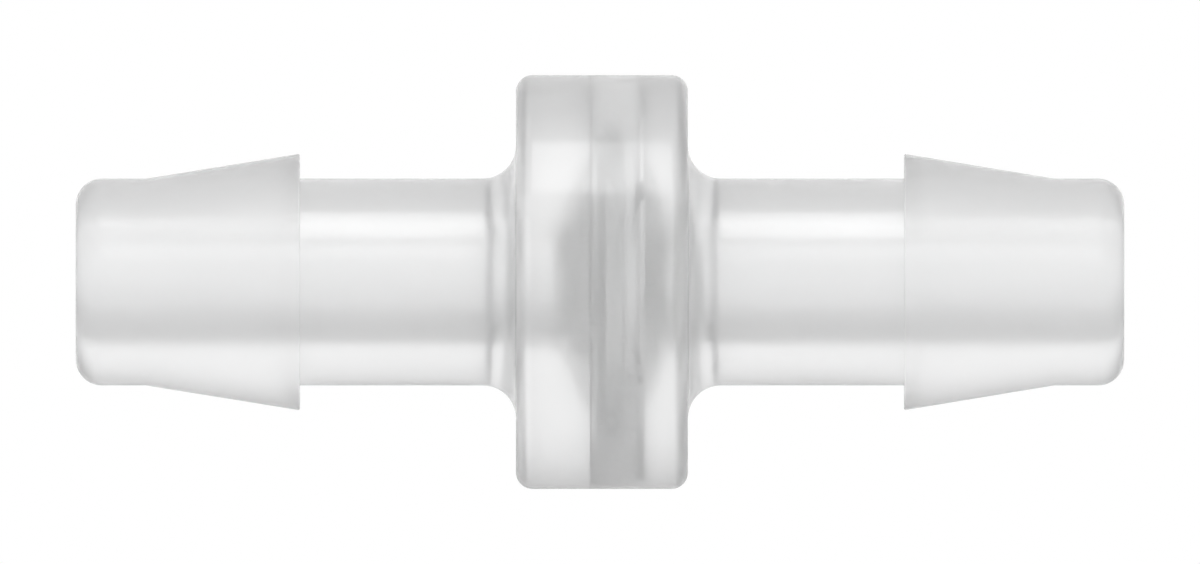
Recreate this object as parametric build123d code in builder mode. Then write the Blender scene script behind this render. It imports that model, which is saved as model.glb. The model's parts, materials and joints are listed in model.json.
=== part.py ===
from build123d import *

import os

# In-line diaphragm check valve with a hose barb at each end, for soft tube of 6.35 mm bore.
# Two moulded polypropylene halves meet in the hub: a low spigot on the inlet half sits in the
# mouth of the cup-shaped outlet half, and the faces round it are welded. A loose silicone
# diaphragm lies in the chamber between them. Flow towards +X lifts it off the seat ring and onto
# six ribs, and passes round its rim and between the ribs. Flow towards -X presses it back onto
# the seat ring and is stopped.
# X is the axis of flow and of every turned shape. The origin is on it, at mid-length. +Z is up.

# --- Driving dimensions, millimetres ---
tube_bore = 6.35
barb_diameter = 7.87
hub_diameter = 12.7
port_diameter = 2.64

nose_length = 2.16  # straight pilot that starts the tube
inlet_cone_length = 4.72
outlet_cone_length = 4.60
stem_length = 6.63  # from the barb's shoulder to the hub
hub_width = 5.28

nose_corner = 0.81
barb_edge = 0.05
root_fillet = 1.01  # between stem and hub
hub_corner = 0.51
port_break = 0.15

seam_depth = 2.28  # from the hub's inlet face to the plane where the halves meet
spigot_height = 0.20
spigot_clearance = 0.03  # radial, in the cup's mouth
spigot_edge = 0.06
chamber_radius = 5.25
chamber_corner = 0.30

seat_height = 0.20
seat_inner_radius = 3.45
seat_outer_radius = 3.95
seat_draft = 0.06  # the ring is this much wider at its root
seat_crest = 0.08  # radius of the ring's crest and root

inlet_throat_length = 1.35  # the port widens to the seat over this length
outlet_throat_length = 0.74
outlet_throat_radius = 2.60  # at the outlet half's floor
throat_blend = 0.50
throat_edge = 0.20

diaphragm_radius = 4.75
diaphragm_thickness = 0.64
diaphragm_edge = 0.10
lift = 0.30  # how far the diaphragm travels
contact_gap = 0.01  # left at the seat and at the ribs, so that touching faces never overlap

rib_count = 6
rib_height = 0.30
rib_thickness = 0.60
rib_inner_radius = 2.75  # the ribs stop short of the throat's edge
rib_edge = 0.08
rib_root = 0.12  # how far a rib reaches into the moulding's walls

# --- Derived dimensions and places along X ---
stem_radius = tube_bore / 2
barb_radius = barb_diameter / 2
hub_radius = hub_diameter / 2
port_radius = port_diameter / 2

cones = inlet_cone_length + outlet_cone_length
overall_length = 2 * (nose_length + stem_length) + cones + hub_width
inlet_end = -overall_length / 2
outlet_end = overall_length / 2
hub_inlet_face = inlet_end + nose_length + inlet_cone_length + stem_length
hub_outlet_face = hub_inlet_face + hub_width

seam = hub_inlet_face + seam_depth
inlet_floor = seam + spigot_height
seat_face = inlet_floor + seat_height
diaphragm_inlet_face = seat_face + contact_gap
diaphragm_outlet_face = diaphragm_inlet_face + diaphragm_thickness
rib_face = diaphragm_outlet_face + lift + contact_gap
outlet_floor = rib_face + rib_height
inlet_throat = seat_face - inlet_throat_length
outlet_throat = outlet_floor + outlet_throat_length


def barbed_outline(end, cone_length, hub_face):
    """Corners of a half's outside, from the port's mouth to the hub's rim: x, radius, rounding."""
    inwards = 1 if end < 0 else -1
    cone_start = end + inwards * nose_length
    shoulder = cone_start + inwards * cone_length
    return [
        (end, port_radius, port_break),
        (end, stem_radius, nose_corner),
        (cone_start, stem_radius, 0),
        (shoulder, barb_radius, barb_edge),
        (shoulder, stem_radius, 0),
        (hub_face, stem_radius, root_fillet),
        (hub_face, hub_radius, hub_corner),
        (seam, hub_radius, 0),
    ]


def turned_section(corners):
    """A half's section above the axis, in the XZ plane, from its corners: x, radius, rounding."""
    with BuildSketch(Plane.XZ) as section:
        with BuildLine():
            FilletPolyline(
                [(x, radius) for x, radius, _ in corners],
                radius=[rounding for _, _, rounding in corners],
                close=True,
            )
        make_face()
    return section.sketch


# --- Inlet half: barb, stem, hub flange with its spigot, and the seat ring ---
inlet_corners = barbed_outline(inlet_end, inlet_cone_length, hub_inlet_face) + [
    (seam, chamber_radius - spigot_clearance, 0),
    (inlet_floor, chamber_radius - spigot_clearance, spigot_edge),
    (inlet_floor, seat_outer_radius + seat_draft, seat_crest),
    (seat_face, seat_outer_radius, seat_crest),
    (seat_face, seat_inner_radius, seat_crest),
    (inlet_throat, port_radius, throat_blend),
]

with BuildPart() as inlet_body:
    revolve(turned_section(inlet_corners), axis=Axis.X)

# --- Outlet half: barb, stem, hub cup, and the stop ribs on its floor ---
outlet_corners = barbed_outline(outlet_end, outlet_cone_length, hub_outlet_face) + [
    (seam, chamber_radius, 0),
    (outlet_floor, chamber_radius, chamber_corner),
    (outlet_floor, outlet_throat_radius, throat_edge),
    (outlet_throat, port_radius, throat_blend),
]

# A rib's side view: a low radial bar whose roots lie inside the moulding's walls.
rib_corners = [
    (rib_face, rib_inner_radius),
    (rib_face, chamber_radius + rib_root),
    (outlet_floor + rib_root, chamber_radius + rib_root),
    (outlet_floor + rib_root, rib_inner_radius),
]

with BuildPart() as outlet_body:
    revolve(turned_section(outlet_corners), axis=Axis.X)
    for rib in range(rib_count):
        with BuildSketch(Plane.XZ.rotated((rib * 360 / rib_count, 0, 0))):
            with BuildLine():
                Polyline(rib_corners, close=True)
            make_face()
        extrude(amount=rib_thickness / 2, both=True)
    # The ribs' long edges are rounded where the diaphragm lands.
    rib_top_edges = (
        outlet_body.faces()
        .filter_by(Axis.X)
        .filter_by(lambda face: abs(face.center().X - rib_face) < contact_gap / 2)
        .edges()
        .filter_by(GeomType.LINE)
        .filter_by(lambda edge: edge.length > 2 * rib_thickness)
    )
    fillet(rib_top_edges, rib_edge)

# --- Diaphragm: a flat silicone disc, shown closed ---
with BuildPart() as diaphragm:
    with BuildSketch(Plane.XZ):
        with BuildLine():
            FilletPolyline(
                (diaphragm_inlet_face, 0),
                (diaphragm_inlet_face, diaphragm_radius),
                (diaphragm_outlet_face, diaphragm_radius),
                (diaphragm_outlet_face, 0),
                radius=diaphragm_edge,
            )
            Line((diaphragm_outlet_face, 0), (diaphragm_inlet_face, 0))
        make_face()
    revolve(axis=Axis.X)

# --- One STEP file for each moulding ---
os.makedirs("parts", exist_ok=True)
pieces = {"inlet_body": inlet_body, "outlet_body": outlet_body, "diaphragm": diaphragm}
for name, piece in pieces.items():
    piece.part.label = name
    export_step(piece.part, f"parts/{name}.step")

print(f"overall length {overall_length:.2f}, hub from {hub_inlet_face:.3f} to {hub_outlet_face:.3f}")
print(f"seam {seam:.3f}, seat {seat_face:.3f}, ribs {rib_face:.3f}, floor {outlet_floor:.3f}")
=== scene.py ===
import json
import math

import bmesh
import bpy
from mathutils import Matrix, Vector


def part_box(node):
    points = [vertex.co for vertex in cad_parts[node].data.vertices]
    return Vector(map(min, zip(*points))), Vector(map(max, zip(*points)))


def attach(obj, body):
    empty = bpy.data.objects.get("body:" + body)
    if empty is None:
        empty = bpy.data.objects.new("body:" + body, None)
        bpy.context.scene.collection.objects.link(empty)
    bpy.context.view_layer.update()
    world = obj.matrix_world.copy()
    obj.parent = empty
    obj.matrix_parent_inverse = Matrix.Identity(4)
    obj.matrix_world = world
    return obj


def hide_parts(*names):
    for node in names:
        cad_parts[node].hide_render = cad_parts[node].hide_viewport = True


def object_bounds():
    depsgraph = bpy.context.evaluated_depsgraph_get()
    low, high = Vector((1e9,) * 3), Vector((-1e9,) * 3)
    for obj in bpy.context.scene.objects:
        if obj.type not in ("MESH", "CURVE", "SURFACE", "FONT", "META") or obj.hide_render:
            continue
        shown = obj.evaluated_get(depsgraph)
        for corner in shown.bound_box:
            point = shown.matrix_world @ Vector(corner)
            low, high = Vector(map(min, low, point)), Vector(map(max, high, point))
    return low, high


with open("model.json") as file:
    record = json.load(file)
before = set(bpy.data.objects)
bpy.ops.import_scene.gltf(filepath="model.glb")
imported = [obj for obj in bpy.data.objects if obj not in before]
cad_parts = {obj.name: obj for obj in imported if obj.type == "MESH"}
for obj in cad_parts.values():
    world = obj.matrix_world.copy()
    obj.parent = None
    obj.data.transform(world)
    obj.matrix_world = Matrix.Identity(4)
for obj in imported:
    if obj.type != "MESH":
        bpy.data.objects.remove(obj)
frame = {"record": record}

CAD_BOX = [list(corner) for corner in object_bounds()]

# ---------------------------------------------------------------- sizes, in metres
MM = 0.001
LOW, HIGH = (Vector(corner) for corner in CAD_BOX)
CENTRE = (LOW + HIGH) / 2
MOUNTS = {mount["name"]: mount for mount in frame["record"]["mounts"]}


def mount_size(mount, key):
    """A mount's dimension in metres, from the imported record."""
    return MOUNTS[mount]["dims"][key] * MM


# Places and radii, from the frame's boxes and mounts.
HUB_RADIUS = HIGH.z
PORT_RADIUS = mount_size("inlet_port", "r_mm")
STEM_RADIUS = mount_size("inlet_nose", "r_mm")
BARB_RADIUS = mount_size("inlet_barb", "r_mm")
HUB_INLET_FACE = MOUNTS["inlet_tube_stop"]["pos_m"][0]
HUB_OUTLET_FACE = MOUNTS["outlet_tube_stop"]["pos_m"][0]
SEAT_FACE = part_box("inlet_body")[1][0]
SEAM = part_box("outlet_body")[0][0]
DISC_INLET_FACE, DISC_OUTLET_FACE = (corner[0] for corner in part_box("diaphragm"))
DISC_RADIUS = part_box("diaphragm")[1][2]

# Roundings of the outside.
PORT_BREAK = 0.15 * MM
NOSE_CORNER = 0.81 * MM
BARB_EDGE = 0.05 * MM
ROOT_FILLET = 1.01 * MM
HUB_CORNER = 0.51 * MM

# The chamber, its seat and its throats.
WELD_MELT = 0.002 * MM  # the welded faces overlap by this, so that light passes the joint
SPIGOT_HEIGHT = 0.20 * MM
SPIGOT_RADIUS = 5.22 * MM
SPIGOT_EDGE = 0.06 * MM
CHAMBER_RADIUS = 5.25 * MM
CHAMBER_CORNER = 0.30 * MM
SEAT_INNER_RADIUS, SEAT_OUTER_RADIUS = 3.45 * MM, 3.95 * MM
SEAT_CREST = 0.08 * MM
SEAT_DRAFT = 0.06 * MM
THROAT_BLEND = 0.50 * MM
THROAT_EDGE = 0.20 * MM
INLET_THROAT_LENGTH = 1.35 * MM
OUTLET_THROAT_LENGTH = 0.74 * MM
OUTLET_THROAT_RADIUS = 2.60 * MM

# The stop ribs on the outlet half's floor, and the disc that they stop.
RIB_COUNT = 6
RIB_HEIGHT = 0.30 * MM
RIB_THICKNESS = 0.60 * MM
RIB_INNER_RADIUS = 2.75 * MM
RIB_EDGE = 0.08 * MM
RIB_ROOT = 0.12 * MM  # how far a rib reaches into the outlet half's walls
DISC_EDGE = 0.10 * MM
LIFT = frame["record"]["behaviour"]["joints"][0]["range_m"][1]
CONTACT_GAP = 0.01 * MM  # left at the ribs by the open disc

# Places along X.
INLET_FLOOR = SEAM + SPIGOT_HEIGHT
INLET_THROAT = SEAT_FACE - INLET_THROAT_LENGTH
RIB_FACE = DISC_OUTLET_FACE + LIFT + CONTACT_GAP
OUTLET_FLOOR = RIB_FACE + RIB_HEIGHT
OUTLET_THROAT = OUTLET_FLOOR + OUTLET_THROAT_LENGTH

SEGMENTS = 256  # round each turned shape
ARC_STEP = math.radians(9)  # the most between two points of an arc
SHARP_ANGLE = math.radians(32)  # a steeper fold stays a crease


# ---------------------------------------------------------------- meshes
def rounded(corners):
    """A closed outline from corners (x, radius, rounding), with an arc at each rounded corner."""
    points = []
    for i, (x, radius, rounding) in enumerate(corners):
        corner = Vector((x, radius))
        if rounding == 0:
            points.append(corner)
            continue
        before = (Vector(corners[i - 1][:2]) - corner).normalized()
        after = (Vector(corners[(i + 1) % len(corners)][:2]) - corner).normalized()
        half = before.angle(after) / 2
        pivot = corner + (before + after).normalized() * rounding / math.sin(half)
        start = corner + before * rounding / math.tan(half) - pivot
        end = corner + after * rounding / math.tan(half) - pivot
        turn = math.copysign(math.pi - 2 * half, start.cross(end))
        steps = max(2, math.ceil(abs(turn) / ARC_STEP))
        points += [pivot + Matrix.Rotation(turn * k / steps, 2) @ start for k in range(steps + 1)]
    return points


def place(name, bm):
    """Turns a bmesh into an object with smooth faces and sharp creases, and frees the bmesh."""
    bmesh.ops.recalc_face_normals(bm, faces=bm.faces)
    mesh = bpy.data.meshes.new(name)
    bm.to_mesh(mesh)
    bm.free()
    mesh.shade_smooth()
    mesh.set_sharp_from_angle(angle=SHARP_ANGLE)
    piece = bpy.data.objects.new(name, mesh)
    bpy.context.collection.objects.link(piece)
    return piece


def lathe(name, outline):
    """A closed mesh from an outline turned about X. A point on the axis becomes one vertex."""
    bm = bmesh.new()
    turns = [2 * math.pi * k / SEGMENTS for k in range(SEGMENTS)]
    rings = []
    for point in outline:
        if point.y == 0:
            rings.append([bm.verts.new((point.x, 0, 0))] * SEGMENTS)
        else:
            rings.append([
                bm.verts.new((point.x, point.y * math.sin(turn), point.y * math.cos(turn)))
                for turn in turns
            ])
    for ring, following in zip(rings, rings[1:] + rings[:1]):
        for k in range(SEGMENTS):
            after = (k + 1) % SEGMENTS
            corners = dict.fromkeys([ring[k], ring[after], following[after], following[k]])
            if len(corners) > 2:
                bm.faces.new(corners)
    return place(name, bm)


def rib_bars():
    """The stop ribs as bars with rounded long edges, whose roots lie inside the outlet half."""
    half = RIB_THICKNESS / 2
    across = rounded([
        (OUTLET_FLOOR + RIB_ROOT, -half, 0),
        (RIB_FACE, -half, RIB_EDGE),
        (RIB_FACE, half, RIB_EDGE),
        (OUTLET_FLOOR + RIB_ROOT, half, 0),
    ])
    bm = bmesh.new()
    for rib in range(RIB_COUNT):
        turn = Matrix.Rotation(2 * math.pi * rib / RIB_COUNT, 3, "X")
        ends = []
        for radius in (RIB_INNER_RADIUS, CHAMBER_RADIUS + RIB_ROOT):
            ends.append([bm.verts.new(turn @ Vector((p.x, p.y, radius))) for p in across])
        bm.faces.new(ends[0])
        bm.faces.new(ends[1])
        for k in range(len(across)):
            bm.faces.new((ends[0][k - 1], ends[0][k], ends[1][k], ends[1][k - 1]))
    return place("rib_bars", bm)


def join(piece, tool):
    """Unites a piece with a tool object, and deletes the tool."""
    union = piece.modifiers.new("union", "BOOLEAN")
    union.operation = "UNION"
    union.solver = "EXACT"
    union.object = tool
    evaluated = piece.evaluated_get(bpy.context.evaluated_depsgraph_get())
    mesh = bpy.data.meshes.new_from_object(evaluated)
    piece.modifiers.clear()
    piece.data = mesh
    mesh.shade_smooth()
    mesh.set_sharp_from_angle(angle=SHARP_ANGLE)
    bpy.data.objects.remove(tool)


def barbed_outline(end, shoulder, cone_length, hub_face, seam):
    """Corners of a half's outside, from the port's mouth to the hub's rim."""
    inwards = 1 if end < 0 else -1
    return [
        (end, PORT_RADIUS, PORT_BREAK),
        (end, STEM_RADIUS, NOSE_CORNER),
        (shoulder - inwards * cone_length, STEM_RADIUS, 0),
        (shoulder, BARB_RADIUS, BARB_EDGE),
        (shoulder, STEM_RADIUS, 0),
        (hub_face, STEM_RADIUS, ROOT_FILLET),
        (hub_face, HUB_RADIUS, HUB_CORNER),
        (seam, HUB_RADIUS, 0),
    ]


def inlet_moulding():
    """The half with the spigot and the seat ring."""
    shoulder = MOUNTS["inlet_barb"]["pos_m"][0]
    cone = mount_size("inlet_barb", "length_mm")
    corners = barbed_outline(LOW.x, shoulder, cone, HUB_INLET_FACE, SEAM + WELD_MELT) + [
        (SEAM + WELD_MELT, SPIGOT_RADIUS, 0),
        (INLET_FLOOR, SPIGOT_RADIUS, SPIGOT_EDGE),
        (INLET_FLOOR, SEAT_OUTER_RADIUS + SEAT_DRAFT, SEAT_CREST),
        (SEAT_FACE, SEAT_OUTER_RADIUS, SEAT_CREST),
        (SEAT_FACE, SEAT_INNER_RADIUS, SEAT_CREST),
        (INLET_THROAT, PORT_RADIUS, THROAT_BLEND),
    ]
    return lathe("inlet_moulding", rounded(corners))


def outlet_moulding():
    """The half with the cup and the stop ribs."""
    shoulder = MOUNTS["outlet_barb"]["pos_m"][0]
    cone = mount_size("outlet_barb", "length_mm")
    corners = barbed_outline(HIGH.x, shoulder, cone, HUB_OUTLET_FACE, SEAM) + [
        (SEAM, CHAMBER_RADIUS, 0),
        (OUTLET_FLOOR, CHAMBER_RADIUS, CHAMBER_CORNER),
        (OUTLET_FLOOR, OUTLET_THROAT_RADIUS, THROAT_EDGE),
        (OUTLET_THROAT, PORT_RADIUS, THROAT_BLEND),
    ]
    moulding = lathe("outlet_moulding", rounded(corners))
    join(moulding, rib_bars())
    return moulding


def diaphragm_disc():
    """The loose disc, where it closes the valve."""
    return lathe("diaphragm_disc", rounded([
        (DISC_INLET_FACE, 0, 0),
        (DISC_INLET_FACE, DISC_RADIUS, DISC_EDGE),
        (DISC_OUTLET_FACE, DISC_RADIUS, DISC_EDGE),
        (DISC_OUTLET_FACE, 0, 0),
    ]))


inlet, outlet, disc = inlet_moulding(), outlet_moulding(), diaphragm_disc()
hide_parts("inlet_body")
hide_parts("outlet_body")
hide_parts("diaphragm")
for half in (inlet, outlet):
    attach(half, "housing")
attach(disc, "diaphragm")


# ---------------------------------------------------------------- materials
CLOUD_SIZE = 3.5 * MM  # milky clouds in the plastic
GRAIN_SIZE = 0.09 * MM  # satin of the mould's steel
RIPPLE_SIZE = 1.6 * MM  # shrinkage ripples on the outside
EDGE_REACH = 0.12 * MM  # how far wear reaches in from an edge
EDGE_AGREEMENT = 0.8  # a rounded normal's cosine to the true one at a fully worn edge
EDGE_WEAR = 0.1  # added to the roughness at a fully worn edge
NOISE_LOW, NOISE_HIGH = 0.3, 0.7  # nearly all of a noise texture lies between them

PURE_WHITE = (1, 1, 1, 1)
MILKY_PLASTIC = (0.985, 0.988, 0.99, 1)
MILKY_SILICONE = (0.975, 0.98, 0.975, 1)
PLASTIC_ROUGHNESS = 0.28, 0.33
SILICONE_ROUGHNESS = 0.31, 0.38
PLASTIC_RIPPLE, PLASTIC_GRAIN = 0.006 * MM, 0.0004 * MM  # full heights of the relief
SILICONE_SWELL, SILICONE_GRAIN = 0.004 * MM, 0.0015 * MM
DRAWN_OUT = (0.3, 1, 1)  # stretches a noise along X


def add_node(tree, kind, links=(), **values):
    """A new node in a tree. Links and values are keyed by socket name or number."""
    node = tree.nodes.new("ShaderNode" + kind)
    for key, value in values.items():
        node.inputs[key.replace("_", " ")].default_value = value
    for key, source in dict(links).items():
        tree.links.new(source, node.inputs[key])
    return node


class Surface:
    """A Principled material, and the nodes that vary it over a moulding."""

    def __init__(self, name, **inputs):
        self.material = bpy.data.materials.new(name)
        self.material.use_nodes = True
        self.tree = self.material.node_tree
        self.shader = self.tree.nodes["Principled BSDF"]
        for key, value in inputs.items():
            self.shader.inputs[key.replace("_", " ")].default_value = value

    def node(self, kind, links=(), **values):
        return add_node(self.tree, kind, links, **values)

    def noise(self, size, stretch=(1, 1, 1), detail=2):
        """Noise from 0 to 1 in cells of a size, longer along an axis whose stretch is below 1."""
        position = self.node("TexCoord").outputs["Object"]
        scaled = self.node("VectorMath", {0: position})
        scaled.operation = "MULTIPLY"
        scaled.inputs[1].default_value = stretch
        texture = self.node("TexNoise", {"Vector": scaled.outputs["Vector"]},
                            Scale=1 / size, Detail=detail)
        return texture.outputs["Fac"]

    def ranged(self, source, low, high, source_low=NOISE_LOW, source_high=NOISE_HIGH):
        """A value carried from one range to another, and held at the ends."""
        spread = self.node("MapRange", {"Value": source}, From_Min=source_low, From_Max=source_high,
                           To_Min=low, To_Max=high)
        return spread.outputs["Result"]

    def worn_edges(self, amount):
        """The amount on sharp convex and concave edges, 0 on open faces."""
        rounded_normal = self.node("Bevel", Radius=EDGE_REACH).outputs["Normal"]
        true_normal = self.node("NewGeometry").outputs["Normal"]
        agreement = self.node("VectorMath", {0: rounded_normal, 1: true_normal})
        agreement.operation = "DOT_PRODUCT"
        return self.ranged(agreement.outputs["Value"], amount, 0, EDGE_AGREEMENT, 1)

    def drive(self, key, source, extra=None):
        """Links a value, or the sum of two, to one of the shader's inputs."""
        if extra:
            source = self.node("Math", {0: source, 1: extra}).outputs["Value"]
        self.tree.links.new(source, self.shader.inputs[key])

    def colour(self, source, first, second):
        """Varies the base colour between two colours."""
        mix = self.node("MixRGB", {"Fac": self.ranged(source, 0, 1)}, Color1=first, Color2=second)
        self.drive("Base Color", mix.outputs["Color"])

    def bump(self, *layers):
        """Raises the surface by layers of (noise, full height)."""
        links = {}
        for source, height in layers:
            layer = self.node("Bump", {"Height": source, **links}, Distance=height)
            links = {"Normal": layer.outputs["Normal"]}
        self.drive("Normal", links["Normal"])
        self.drive("Coat Normal", links["Normal"])


def natural_polypropylene():
    plastic = Surface("natural_polypropylene", IOR=1.49, Transmission_Weight=0.94,
                      Coat_Weight=0.5, Coat_Roughness=0.12, Coat_IOR=1.45)
    clouds = plastic.noise(CLOUD_SIZE)
    grain = plastic.noise(GRAIN_SIZE, detail=1)
    ripple = plastic.noise(RIPPLE_SIZE, stretch=DRAWN_OUT)
    plastic.colour(clouds, PURE_WHITE, MILKY_PLASTIC)
    satin = plastic.ranged(ripple, *PLASTIC_ROUGHNESS)
    plastic.drive("Roughness", satin, plastic.worn_edges(EDGE_WEAR))
    plastic.bump((ripple, PLASTIC_RIPPLE), (grain, PLASTIC_GRAIN))
    return plastic.material


def silicone():
    rubber = Surface("silicone", IOR=1.41, Transmission_Weight=0.95)
    clouds = rubber.noise(CLOUD_SIZE / 2)
    grain = rubber.noise(GRAIN_SIZE)
    rubber.colour(clouds, PURE_WHITE, MILKY_SILICONE)
    satin = rubber.ranged(grain, *SILICONE_ROUGHNESS)
    rubber.drive("Roughness", satin, rubber.worn_edges(EDGE_WEAR))
    rubber.bump((clouds, SILICONE_SWELL), (grain, SILICONE_GRAIN))
    return rubber.material


housing_material = natural_polypropylene()
for half in (inlet, outlet):
    half.data.materials.append(housing_material)
disc.data.materials.append(silicone())

# ---------------------------------------------------------------- stage
FILL = 1.0  # the white studio's light on the valve
WHITE = 1.0  # what the camera sees behind it
FLOOR_SIZE = 0.6  # metres, as are all lengths below
FLOOR_COLOUR = (0.85, 0.85, 0.85, 1)
FLOOR_ROUGHNESS = 0.8

# Through the plastic the floor shows a soft painted shade in place of its shadow: how bright it is
# in the shade and away from it, where its middle lies, how far it reaches, and how long it is along
# X.
SHADE_LEVEL, FLOOR_LEVEL = 0.7, 0.9
SHADE_PLACE_Y = 7 * MM
SHADE_INNER, SHADE_OUTER = 3 * MM, 24 * MM
SHADE_LENGTH = 2.9

KEY_ELEVATION = math.radians(67)
KEY_WIDTH, KEY_HEIGHT = 0.035, 0.12
KEY_DISTANCE = 0.2
KEY_POWER = 0.06  # watts

CAMERA_DISTANCE = 0.1
VIEW_WIDTH = 0.03682  # the photograph's width at the valve
CAMERA_CLIP = 0.001, 2


def ray_is(tree, *kinds):
    """1 for a ray of one of the kinds, such as Is Camera Ray, and 0 for any other."""
    path = add_node(tree, "LightPath")
    found = path.outputs[kinds[0]]
    for kind in kinds[1:]:
        either = add_node(tree, "Math", {0: found, 1: path.outputs[kind]})
        either.operation = "MAXIMUM"
        found = either.outputs["Value"]
    return found


def white_world():
    """A studio that is white all round."""
    world = bpy.data.worlds.new("studio")
    bpy.context.scene.world = world
    world.use_nodes = True
    tree = world.node_tree
    seen = ray_is(tree, "Is Camera Ray", "Is Glossy Ray", "Is Transmission Ray")
    strength = add_node(tree, "MapRange", {"Value": seen}, To_Min=FILL, To_Max=WHITE)
    background = tree.nodes["Background"]
    background.inputs["Color"].default_value = PURE_WHITE
    tree.links.new(strength.outputs["Result"], background.inputs["Strength"])


def mixed(surface, share, first, second):
    """The shader between two others, which is the second where the share is 1."""
    mix = surface.node("MixShader", {"Fac": share})
    for socket, shader in zip(mix.inputs[1:], (first, second)):
        surface.tree.links.new(shader, socket)
    return mix.outputs["Shader"]


def pale_floor():
    """Takes the shadow; the plastic sees a soft painted shade on it, and from below it isn't there.
    """
    bpy.ops.mesh.primitive_plane_add(size=FLOOR_SIZE, location=(0, 0, LOW.z))
    floor = bpy.context.object
    floor.name = "floor"
    pale = Surface("floor", Base_Color=FLOOR_COLOUR, Roughness=FLOOR_ROUGHNESS)
    position = pale.node("NewGeometry").outputs["Position"]
    from_shade = pale.node("VectorMath", {0: position})
    from_shade.operation = "MULTIPLY_ADD"
    from_shade.inputs[1].default_value = (1 / SHADE_LENGTH, 1, 0)
    from_shade.inputs[2].default_value = (0, -SHADE_PLACE_Y, 0)
    distance = pale.node("VectorMath", {0: from_shade.outputs["Vector"]})
    distance.operation = "LENGTH"
    shade = pale.node("MapRange", {"Value": distance.outputs["Value"]}, From_Min=SHADE_INNER,
                      From_Max=SHADE_OUTER, To_Min=SHADE_LEVEL, To_Max=FLOOR_LEVEL)
    shade.interpolation_type = "SMOOTHSTEP"
    # Painted shade: for glossy and transmission rays the floor glows, darker near the valve and
    # behind it.
    painted_shade = pale.node("Emission", {"Strength": shade.outputs["Result"]}, Color=PURE_WHITE)
    in_plastic = ray_is(pale.tree, "Is Glossy Ray", "Is Transmission Ray")
    above = mixed(pale, in_plastic, pale.shader.outputs["BSDF"], painted_shade.outputs["Emission"])
    from_below = pale.node("NewGeometry").outputs["Backfacing"]
    either = mixed(pale, from_below, above, pale.node("BsdfTransparent").outputs["BSDF"])
    pale.tree.links.new(either, pale.tree.nodes["Material Output"].inputs["Surface"])
    floor.data.materials.append(pale.material)


def softbox():
    """A rectangular lamp over the front that faces the valve."""
    back = Vector((0, -math.cos(KEY_ELEVATION), math.sin(KEY_ELEVATION)))
    light = bpy.data.lights.new("key", "AREA")
    light.shape = "RECTANGLE"
    light.size, light.size_y = KEY_WIDTH, KEY_HEIGHT
    light.energy = KEY_POWER
    lamp = bpy.data.objects.new("key", light)
    lamp.location = CENTRE + back * KEY_DISTANCE
    lamp.rotation_euler = (-back).to_track_quat("-Z", "Y").to_euler()
    bpy.context.collection.objects.link(lamp)


def front_camera():
    """Looks along +Y with no perspective, as the photograph does."""
    lens = bpy.data.cameras.new("camera")
    lens.type = "ORTHO"
    lens.ortho_scale = VIEW_WIDTH
    lens.clip_start, lens.clip_end = CAMERA_CLIP
    camera = bpy.data.objects.new("camera", lens)
    camera.location = CENTRE - Vector((0, CAMERA_DISTANCE, 0))
    camera.rotation_euler = (math.pi / 2, 0, 0)
    bpy.context.collection.objects.link(camera)
    bpy.context.scene.camera = camera


white_world()
pale_floor()
softbox()
front_camera()
bpy.context.scene.view_settings.view_transform = "Standard"
